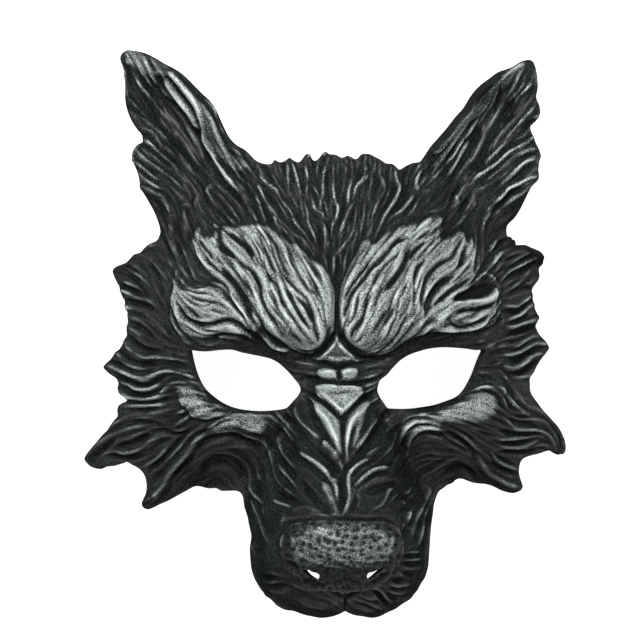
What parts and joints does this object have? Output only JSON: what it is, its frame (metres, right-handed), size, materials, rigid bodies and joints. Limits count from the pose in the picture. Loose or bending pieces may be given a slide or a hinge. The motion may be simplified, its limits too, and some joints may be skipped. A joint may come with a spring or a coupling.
{
  "type": "wolf half mask",
  "caption": "Moulded wolf half mask with upright ears, almond eye openings, a long muzzle with nostril slits, tufted fur edges and a hollow back with two strap pads.",
  "frame": {"origin": "centre of the footprint at the table on which the mask lies face up", "axes": "+X to the right of someone who looks at the face, +Y towards the ears, +Z out of the face"},
  "size_m": [0.2046, 0.2292, 0.1044],
  "materials": {
    "sculpted_shell": "black moulded polyurethane with cool silver rubbed over the raised fur",
    "strap_pad": "plain matt black"
  },
  "bodies": {
    "root": {"mask_shell": "sculpted_shell", "strap_pad_left": "strap_pad", "strap_pad_right": "strap_pad"}
  },
  "joints": []
}
